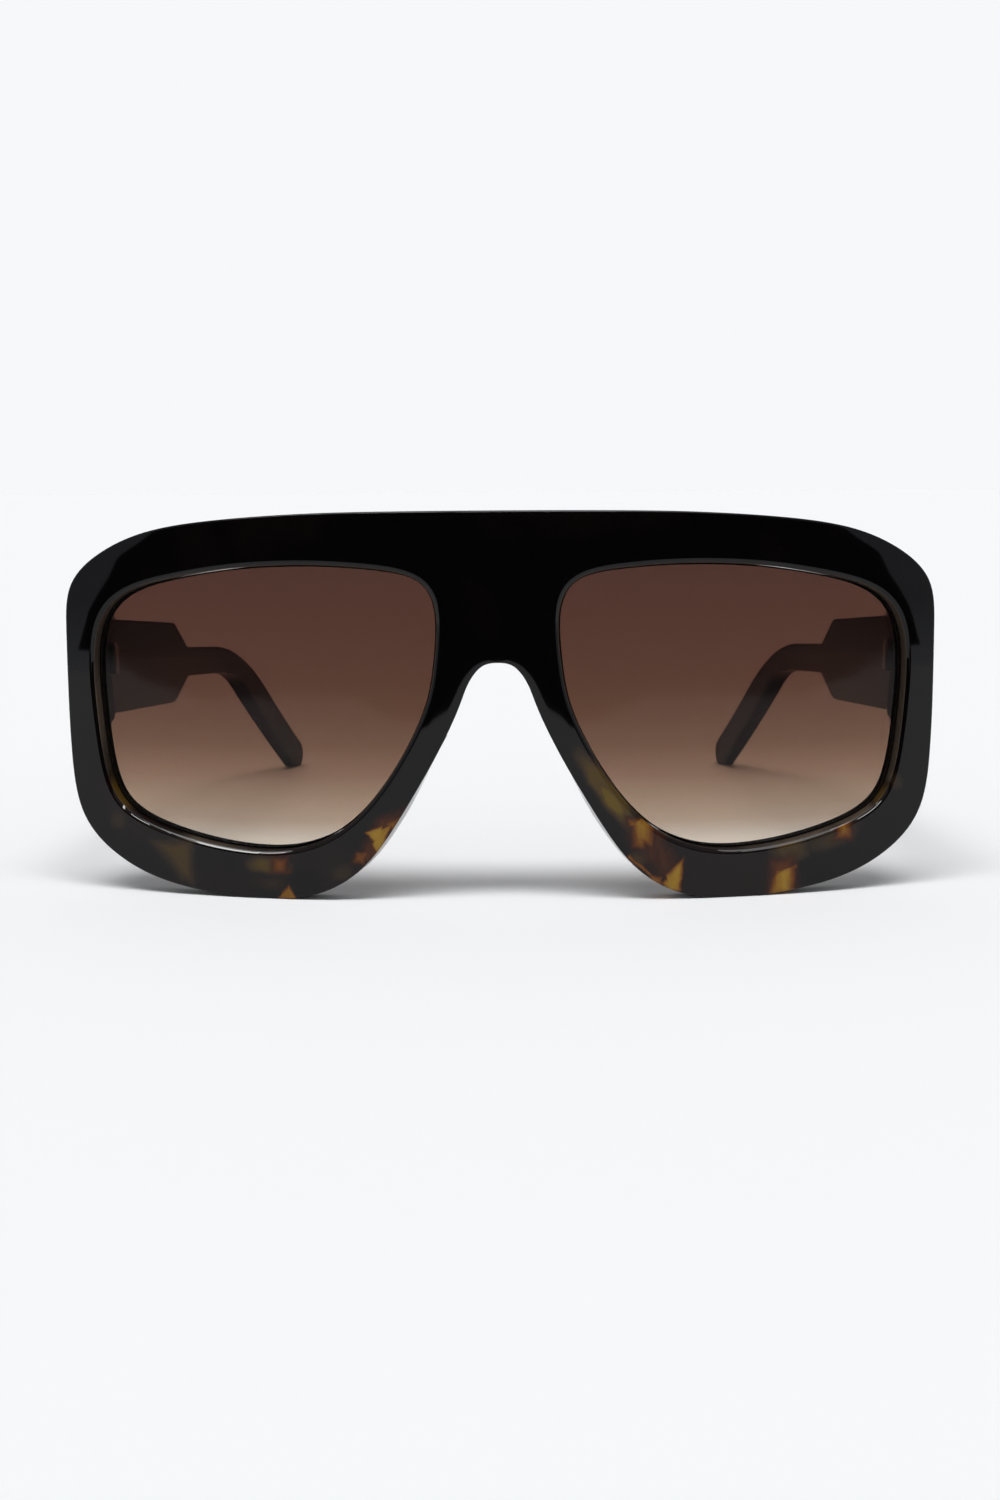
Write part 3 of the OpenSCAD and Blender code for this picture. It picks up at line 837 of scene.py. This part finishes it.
# A trace of haze in the plastic
haze = new_node(nodes, "ShaderNodeBsdfDiffuse")
haze.inputs["Color"].default_value = (0.9, 0.96, 1, 1)
hazy = both(nodes, link, 0.003, through.outputs[0], haze.outputs[0])
out = new_node(nodes, "ShaderNodeOutputMaterial")
link(both(nodes, link, coated.outputs["Fac"], hazy, shine.outputs[0]), out.inputs["Surface"])

# The bevelled edge is roughly ground, and its near-black colour is painted shade that stands for
# the shadow the groove casts on it
lens_rim_painted_shade = bpy.data.materials.new("lens_rim_painted_shade")
lens_rim_painted_shade.use_nodes = True
nodes = lens_rim_painted_shade.node_tree.nodes
link = lens_rim_painted_shade.node_tree.links.new
grain = noise(nodes, link, new_node(nodes, "ShaderNodeTexCoord").outputs["Object"], 1500, 2)
rim_shade_ramp = new_node(nodes, "ShaderNodeValToRGB")
link(grain.outputs["Fac"], rim_shade_ramp.inputs["Fac"])
rim_shade_ramp.color_ramp.elements[0].color = (0.0015, 0.0015, 0.002, 1)
rim_shade_ramp.color_ramp.elements[1].color = (0.006, 0.0045, 0.004, 1)
rim_shader = nodes["Principled BSDF"]
link(rim_shade_ramp.outputs["Color"], rim_shader.inputs["Base Color"])
rim_shader.inputs["Roughness"].default_value = 0.5
rim_shader.inputs["Specular IOR Level"].default_value = 0.1

lens_steps = 8
lens_edge = grown(closed_curve(lens_knots, lens_steps), -lens_gap)
lens_inner = grown(lens_edge, -painted_shade_w)
lens_middle = Vector((mid_x, mid_z))
lens_shares = [1, 0.88, 0.76, 0.62, 0.46, 0.3, 0.14]
for side, way in (("left", 1), ("right", -1)):
    bpy.ops.mesh.primitive_circle_add(vertices=len(lens_edge), radius=1, fill_type="NOTHING")
    lens = named(side + "_lens_dressed")
    bpy.ops.object.mode_set(mode="EDIT")
    disc = bmesh.from_edit_mesh(lens.data)
    station_of = disc.verts.layers.int.new("station")
    disc.verts.ensure_lookup_table()
    for i, vert in enumerate(disc.verts):
        vert[station_of] = i
        vert.co = (lens_edge[i].x, lens_inset, lens_edge[i].y)
    bmesh.update_edit_mesh(lens.data)
    for share in lens_shares:
        bpy.ops.mesh.extrude_edges_move()
        disc = bmesh.from_edit_mesh(lens.data)
        station_of = disc.verts.layers.int["station"]
        for vert in disc.verts:
            if vert.select:
                point = lens_middle.lerp(lens_inner[vert[station_of]], share)
                vert.co = (point.x, lens_inset, point.y)
        bmesh.update_edit_mesh(lens.data)
    bpy.ops.mesh.fill_grid(span=len(lens_edge) // 4)
    bpy.ops.mesh.select_all(action="SELECT")
    bpy.ops.mesh.extrude_region_move(TRANSFORM_OT_translate={"value": (0, lens_t, 0)})
    bpy.ops.mesh.select_all(action="SELECT")
    bpy.ops.mesh.normals_make_consistent(inside=False)
    bpy.ops.object.mode_set(mode="OBJECT")
    lens.data.materials.append(gradient_tint)
    lens.data.materials.append(lens_rim_painted_shade)
    disc = bmesh.new()
    disc.from_mesh(lens.data)
    disc.verts.ensure_lookup_table()
    outer = set()
    for edge in disc.edges:
        if edge.calc_face_angle(0) > radians(60):
            outer.update(edge.verts)
    # The faces along the edge take the material with the painted groove shade
    for face in disc.faces:
        if any(vert in outer for vert in face.verts):
            face.material_index = 1
    disc.to_mesh(lens.data)
    disc.free()
    edge_round = lens.modifiers.new("edge_round", "BEVEL")
    edge_round.limit_method = "ANGLE"
    edge_round.angle_limit = radians(50)
    edge_round.width = lens_round
    edge_round.segments = 2
    bpy.ops.object.modifier_apply(modifier=edge_round.name)
    for vert in lens.data.vertices:
        x, back, z = vert.co
        vert.co = bent(x, back, z)
        vert.co.x *= way
    if way < 0:
        lens.data.flip_normals()
    bpy.ops.object.shade_smooth_by_angle(angle=radians(35))
    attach(lens, "front")
    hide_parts(side + "_lens")
    bpy.ops.object.select_all(action="DESELECT")


# The temples: cut from the same acetate as a wide panel, a sloping shoulder, a slim neck and a
# drop behind the ear, with rounded edges. They lean in a little and curve with the head.
temple_t = 4.4
tip_t = 2.4
panel_h = 16.3
panel_len = 44.5
panel_taper = 1
shoulder_len = 9.5
neck_h = 5.6
neck_len = 40
tip_w = 6.2
temple_z = 36.8
temple_fall = tan(radians(4.4))
temple_len = 136
toe_in = radians(4.2)
curve_start = 60
curve_r = 430
axis_in = 0.6
inner_x = axis_x + axis_in
neck_start = panel_len + shoulder_len
bend_s = neck_start + neck_len
tip_r = tip_w / 2
tip_s = temple_len - tip_r
tip_z = tip_r - rest_flat


def middle_z(s):
    return temple_z - s * temple_fall


drop_fall = (middle_z(bend_s) - tip_z) / (tip_s - bend_s)
drop_angle = atan(drop_fall)
drop_way = Vector((cos(drop_angle), -sin(drop_angle)))
drop_up = Vector((sin(drop_angle), cos(drop_angle)))


def bend_corner(neck_off, drop_off):
    """Where an edge along the neck meets the edge of the drop."""
    s = bend_s + (drop_off / cos(drop_angle) - neck_off) / (drop_fall - temple_fall)
    return Vector((s, middle_z(s) + neck_off))


def tip_corner(off):
    return Vector((tip_s, tip_z)) + off * drop_up + tip_r * drop_way


def rounded(corners, steps):
    """The outline through corners of (place, radius), each rounded by an arc."""
    points = []
    n = len(corners)
    for i, (corner, radius) in enumerate(corners):
        if not radius:
            points.append(corner)
            continue
        u = (corners[i - 1][0] - corner).normalized()
        v = (corners[(i + 1) % n][0] - corner).normalized()
        half = acos(max(-1, min(1, u.dot(v)))) / 2
        centre = corner + (u + v).normalized() * radius / sin(half)
        start = corner + u * radius / tan(half) - centre
        end = corner + v * radius / tan(half) - centre
        way = copysign(1, start.x * end.y - start.y * end.x)
        for k in range(steps + 1):
            points.append(centre + Matrix.Rotation(way * (pi - 2 * half) * k / steps, 2) @ start)
    return points


temple_start = butt_gap / 2
panel_end_half = (panel_h - panel_taper) / 2
shoulder_r = 7
heel_r = 9
heel_back = 1
heel_s = panel_len - heel_back
neck_corner_r = 2
bend_top_r = 75
bend_low_r = 28
tip_round = 0.98 * tip_r
temple_corners = [
    (Vector((temple_start, middle_z(0) + panel_h / 2)), 0),
    (Vector((panel_len, middle_z(panel_len) + panel_end_half)), shoulder_r),
    (Vector((neck_start, middle_z(neck_start) + neck_h / 2)), neck_corner_r),
    (bend_corner(neck_h / 2, tip_r), bend_top_r),
    (tip_corner(tip_r), tip_round),
    (tip_corner(-tip_r), tip_round),
    (bend_corner(-neck_h / 2, -tip_r), bend_low_r),
    (Vector((neck_start, middle_z(neck_start) - neck_h / 2)), neck_corner_r),
    (Vector((heel_s, middle_z(heel_s) - panel_end_half)), heel_r),
    (Vector((temple_start, middle_z(0) - panel_h / 2)), 0),
]
temple_outline = rounded(temple_corners, 12)


def along_temple(s, out, z):
    """A point of the temple: along its inner face, outwards from it and up."""
    straight = min(s, curve_start)
    thin = max(0, min(1, (s - curve_start) / (temple_len - curve_start)))
    out *= 1 - (1 - tip_t / temple_t) * thin
    turn = toe_in + max(0, s - curve_start) / curve_r
    x = inner_x - straight * sin(toe_in) - curve_r * (cos(toe_in) - cos(turn)) + out / cos(turn)
    y = axis_y + straight * cos(toe_in) + curve_r * (sin(turn) - sin(toe_in))
    return Vector((x * mm, front_y + y * mm, z * mm))


temple_acetate = acetate(
    "temple_acetate", (0.004, 0.0036, 0.003, 1), (0.014, 0.013, 0.008, 1),
    [(60, 12, 6, 6, 0, 0.4, 0.1), (-60, 12, 6, 6, 0, 0.4, 0.1)], [], 0.06
)
temple_shader = temple_acetate.node_tree.nodes["Principled BSDF"]
temple_shader.inputs["IOR"].default_value = 1.25
temple_shader.inputs["Specular IOR Level"].default_value = 0.25
# The blank is cut across at even steps, so that it can curve, clear of its corners
cut_step = 3
first_cut = 0.37
temple_round = 0.9
for side, way in (("left", 1), ("right", -1)):
    bpy.ops.mesh.primitive_circle_add(
        vertices=len(temple_outline), radius=1, fill_type="NGON"
    )
    temple = named(side + "_temple_dressed")
    for vert, point in zip(temple.data.vertices, temple_outline):
        vert.co = (point.x, 0, point.y)
    bpy.ops.object.mode_set(mode="EDIT")
    for k in range(1, int(temple_len / cut_step)):
        bpy.ops.mesh.select_all(action="SELECT")
        bpy.ops.mesh.bisect(plane_co=(k * cut_step + first_cut, 0, 0), plane_no=(1, 0, 0))
    bpy.ops.mesh.select_all(action="SELECT")
    bpy.ops.mesh.extrude_region_move(TRANSFORM_OT_translate={"value": (0, temple_t, 0)})
    bpy.ops.mesh.select_all(action="SELECT")
    bpy.ops.mesh.normals_make_consistent(inside=False)
    bpy.ops.object.mode_set(mode="OBJECT")
    rounding = temple.modifiers.new("rounding", "BEVEL")
    rounding.limit_method = "ANGLE"
    rounding.angle_limit = radians(60)
    rounding.width = temple_round
    rounding.segments = 4
    bpy.ops.object.modifier_apply(modifier=rounding.name)
    for vert in temple.data.vertices:
        s, out, z = vert.co
        vert.co = along_temple(s, out, max(z, 0))
        vert.co.x *= way
    bpy.ops.object.mode_set(mode="EDIT")
    bpy.ops.mesh.select_all(action="SELECT")
    bpy.ops.mesh.normals_make_consistent(inside=False)
    bpy.ops.object.mode_set(mode="OBJECT")
    temple.data.materials.append(temple_acetate)
    notched(temple, (way,))
    polished(temple)
    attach(temple, side + "_arm")
    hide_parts(side + "_temple")
    bpy.ops.object.select_all(action="DESELECT")


# The nose pads: crowned lozenges of the same dark acetate, glued to the back of the nose arms and
# leaning out with the sides of the nose. They are polished all over, so their edges are round.
pad_len = 13
pad_w = 3.4
pad_h = 4
pad_flare = radians(15)
pad_crown = 2
pad_crown_r = ((pad_len / 2) ** 2 + pad_crown ** 2) / (2 * pad_crown)
# The outline's last knots run up the nose arm, from its foot to where it meets the arch
arm_foot, arm_middle, arm_root = (Vector(knot) for knot in half_outline[-5:-2])
arm_cut = Vector((front_t * tan(lens_turn), 0))
pad_middle = (arm_middle + Vector(lens_knots[-1]) - arm_cut) / 2
pad_lean = atan((arm_root.y - arm_foot.y) / (arm_foot.x - arm_root.x))
pad_place = (
    Matrix.Translation((pad_middle.x, wrap_y(pad_middle.x, wrap_r - front_t), pad_middle.y))
    @ Matrix.Rotation(pad_lean, 4, "Y") @ Matrix.Rotation(pad_flare - pi / 2, 4, "X")
)
pad_points = 48
pad_plan = []
for i in range(pad_points):
    a = 2 * pi * (i + 0.5) / pad_points
    end = copysign((pad_len - pad_w) / 2, cos(a))
    pad_plan.append((end + cos(a) * pad_w / 2, sin(a) * pad_w / 2))
# Each ring up the pad: its share of the plan and how far it lies below the crown
pad_rings = [(1, 4.5), (1, 0.6), (0.97, 0.3), (0.88, 0.08), (0.7, 0), (0.45, 0), (0.2, 0)]
pad_acetate = acetate(
    "pad_acetate", front_black, (0.006, 0.0035, 0.0022, 1), [(13, 23, 2, 3, 0, 0.3, 0.1)], [], 0.08
)
for side, way in (("left", 1), ("right", -1)):
    bpy.ops.mesh.primitive_circle_add(vertices=len(pad_plan), radius=1, fill_type="NOTHING")
    pad = named(side + "_nose_pad_dressed")
    bpy.ops.object.mode_set(mode="EDIT")
    bud = bmesh.from_edit_mesh(pad.data)
    station_of = bud.verts.layers.int.new("station")
    bud.verts.ensure_lookup_table()
    for i, vert in enumerate(bud.verts):
        vert[station_of] = i
    bmesh.update_edit_mesh(pad.data)
    for level, (share, below) in enumerate(pad_rings):
        if level:
            bpy.ops.mesh.extrude_edges_move()
        bud = bmesh.from_edit_mesh(pad.data)
        station_of = bud.verts.layers.int["station"]
        for vert in bud.verts:
            if vert.select:
                x, y = (share * c for c in pad_plan[vert[station_of]])
                drop = pad_crown_r - sqrt(pad_crown_r ** 2 - x * x - y * y)
                vert.co = (x, y, pad_h - drop - below)
        bmesh.update_edit_mesh(pad.data)
    bpy.ops.mesh.fill_grid(span=len(pad_plan) // 4)
    bpy.ops.mesh.select_all(action="SELECT")
    bpy.ops.mesh.normals_make_consistent(inside=False)
    bpy.ops.object.mode_set(mode="OBJECT")
    for vert in pad.data.vertices:
        x, y, z = pad_place @ vert.co
        vert.co = (way * x * mm, front_y + y * mm, z * mm)
    if way < 0:
        pad.data.flip_normals()
    pad.data.materials.append(pad_acetate)
    bpy.ops.object.shade_smooth_by_angle(angle=radians(35))
    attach(pad, "front")
    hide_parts(side + "_nose_pad")
    bpy.ops.object.select_all(action="DESELECT")


# The metal inside: leaves of nickel silver stamped and milled, screws turned from steel and wires
# drawn flat. They keep the shapes of the solids, and each metal has its own grain.
def metal(name, colour, roughness, grain_scale, lines):
    material = bpy.data.materials.new(name)
    material.use_nodes = True
    nodes = material.node_tree.nodes
    link = material.node_tree.links.new
    spread = new_node(nodes, "ShaderNodeMapping")
    link(new_node(nodes, "ShaderNodeTexCoord").outputs["Object"], spread.inputs["Vector"])
    spread.inputs["Scale"].default_value = lines
    grain = noise(nodes, link, spread.outputs[0], grain_scale, 4)
    shader = nodes["Principled BSDF"]
    shader.inputs["Metallic"].default_value = 1
    shade = new_node(nodes, "ShaderNodeValToRGB")
    link(grain.outputs["Fac"], shade.inputs["Fac"])
    shade.color_ramp.elements[0].position = 0.3
    shade.color_ramp.elements[0].color = [0.72 * c for c in colour] + [1]
    shade.color_ramp.elements[1].position = 0.7
    shade.color_ramp.elements[1].color = list(colour) + [1]
    link(shade.outputs["Color"], shader.inputs["Base Color"])
    rough = ranged(
        nodes, link, grain.outputs["Fac"], 0, 1, roughness, roughness + 0.15, "LINEAR"
    )
    link(rough, shader.inputs["Roughness"])
    scratch = new_node(nodes, "ShaderNodeBump")
    scratch.inputs["Strength"].default_value = 0.15
    scratch.inputs["Distance"].default_value = 0.02 * mm
    link(grain.outputs["Fac"], scratch.inputs["Height"])
    link(scratch.outputs["Normal"], shader.inputs["Normal"])
    return material


# Each metal goes on the solids whose names hold these words
metals = [
    ("hinge_leaf", metal("hinge_metal", (0.5, 0.49, 0.46), 0.3, 900, (1, 1, 6))),
    ("hinge_screw", metal("screw_metal", (0.62, 0.62, 0.62), 0.22, 700, (1, 1, 12))),
    ("core_wire", metal("wire_metal", (0.55, 0.54, 0.5), 0.35, 600, (1, 0.1, 1))),
]
for node_name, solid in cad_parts.items():
    for words, material in metals:
        if words in node_name:
            for material_slot in solid.material_slots:
                material_slot.material = material
